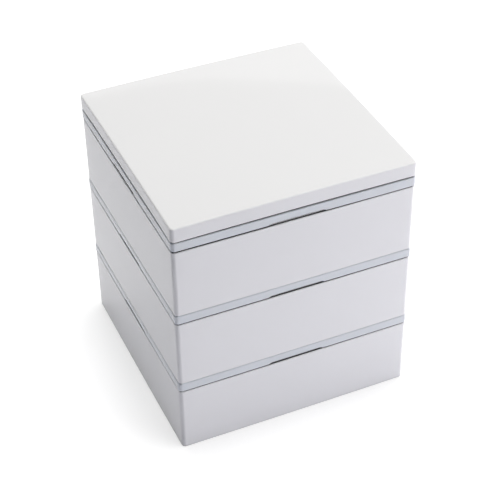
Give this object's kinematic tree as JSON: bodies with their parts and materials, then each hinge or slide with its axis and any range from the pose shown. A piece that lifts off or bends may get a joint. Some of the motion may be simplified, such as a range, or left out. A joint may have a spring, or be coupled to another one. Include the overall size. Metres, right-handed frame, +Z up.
{
  "type": "stacking food box",
  "caption": "Square stacking food box of lacquered tiers, each closed by a press-on seal lid, under a shallow lid.",
  "frame": {"origin": "on the upright axis of the stack, at the surface that its foot ring stands on", "axes": "+Z up; the flat sides face +X, -X, +Y and -Y"},
  "size_m": [0.1802, 0.1802, 0.1984],
  "materials": {
    "white_lacquer": "white urethane lacquer, high gloss, on moulded resin",
    "seal_lid_plastic": "pale translucent soft plastic, satin"
  },
  "bodies": {
    "bottom_tier": {"bottom_tier": "white_lacquer"},
    "bottom_seal_lid": {"bottom_seal_lid": "seal_lid_plastic"},
    "middle_tier": {"middle_tier": "white_lacquer"},
    "middle_seal_lid": {"middle_seal_lid": "seal_lid_plastic"},
    "top_tier": {"top_tier": "white_lacquer"},
    "top_seal_lid": {"top_seal_lid": "seal_lid_plastic"},
    "lid": {"lid": "white_lacquer"}
  },
  "joints": [
    {"name": "bottom_seal_lid_lift", "type": "slide", "parent": "bottom_tier", "child": "bottom_seal_lid", "axis": [0, 0, 1], "range_m": [0, 0.06]},
    {"name": "middle_tier_lift", "type": "slide", "parent": "bottom_seal_lid", "child": "middle_tier", "axis": [0, 0, 1], "range_m": [0, 0.06]},
    {"name": "middle_seal_lid_lift", "type": "slide", "parent": "middle_tier", "child": "middle_seal_lid", "axis": [0, 0, 1], "range_m": [0, 0.06]},
    {"name": "top_tier_lift", "type": "slide", "parent": "middle_seal_lid", "child": "top_tier", "axis": [0, 0, 1], "range_m": [0, 0.06]},
    {"name": "top_seal_lid_lift", "type": "slide", "parent": "top_tier", "child": "top_seal_lid", "axis": [0, 0, 1], "range_m": [0, 0.06]},
    {"name": "lid_lift", "type": "slide", "parent": "top_seal_lid", "child": "lid", "axis": [0, 0, 1], "range_m": [0, 0.06]}
  ]
}
